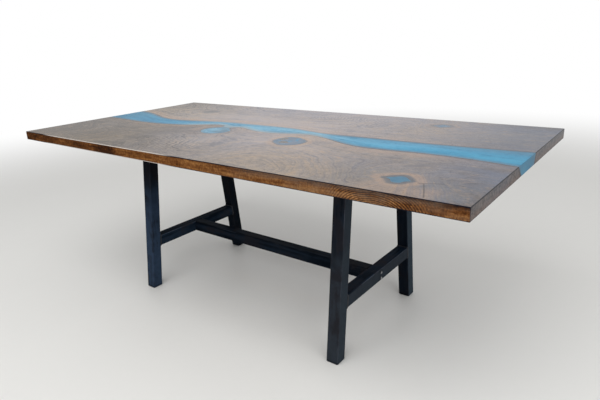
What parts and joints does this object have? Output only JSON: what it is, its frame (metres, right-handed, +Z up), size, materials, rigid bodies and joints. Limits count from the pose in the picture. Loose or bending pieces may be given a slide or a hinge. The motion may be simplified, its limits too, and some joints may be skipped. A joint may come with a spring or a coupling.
{
  "type": "river table",
  "caption": "Rectangular dining table: two dark wooden slabs with a blue resin river between them, on splayed black square-tube frames joined by a stretcher.",
  "frame": {"origin": "on the floor, under the middle of the table top", "axes": "+X along the length to the right end, +Y across the width to the back, +Z up"},
  "size_m": [2.1, 1.05, 0.76],
  "materials": {
    "stained_wood": "dark stain under satin lacquer",
    "blue_resin": "cast resin with pearl pigment, polished",
    "blackened_steel": "blue-black mill scale under clear lacquer",
    "plain_steel": "bare, as cut",
    "zinc_fasteners": "bright zinc plating",
    "insert_brass": "turned brass",
    "pad_rubber": "matte"
  },
  "bodies": {
    "root": {"back_knot_fill_right": "blue_resin", "back_slab": "stained_wood", "front_knot_fill_middle": "blue_resin", "front_knot_fill_right": "blue_resin", "front_slab": "stained_wood", "left_back_foot_cap": "blackened_steel", "left_back_foot_pad": "pad_rubber", "left_back_leg": "blackened_steel", "left_cross_rail": "blackened_steel", "left_crush_tubes": "plain_steel", "left_front_foot_cap": "blackened_steel", "left_front_foot_pad": "pad_rubber", "left_front_leg": "blackened_steel", "left_slab_inserts": "insert_brass", "left_stretcher_bolts": "zinc_fasteners", "left_stretcher_end_plate": "plain_steel", "left_top_bolts": "zinc_fasteners", "left_top_plate": "blackened_steel", "left_top_washers": "zinc_fasteners", "long_stretcher": "blackened_steel", "middle_knot_cores": "stained_wood", "right_back_foot_cap": "blackened_steel", "right_back_foot_pad": "pad_rubber", "right_back_leg": "blackened_steel", "right_cross_rail": "blackened_steel", "right_crush_tubes": "plain_steel", "right_front_foot_cap": "blackened_steel", "right_front_foot_pad": "pad_rubber", "right_front_leg": "blackened_steel", "right_slab_inserts": "insert_brass", "right_stretcher_bolts": "zinc_fasteners", "right_stretcher_end_plate": "plain_steel", "right_top_bolts": "zinc_fasteners", "right_top_plate": "blackened_steel", "right_top_washers": "zinc_fasteners", "river_resin": "blue_resin"}
  },
  "joints": []
}
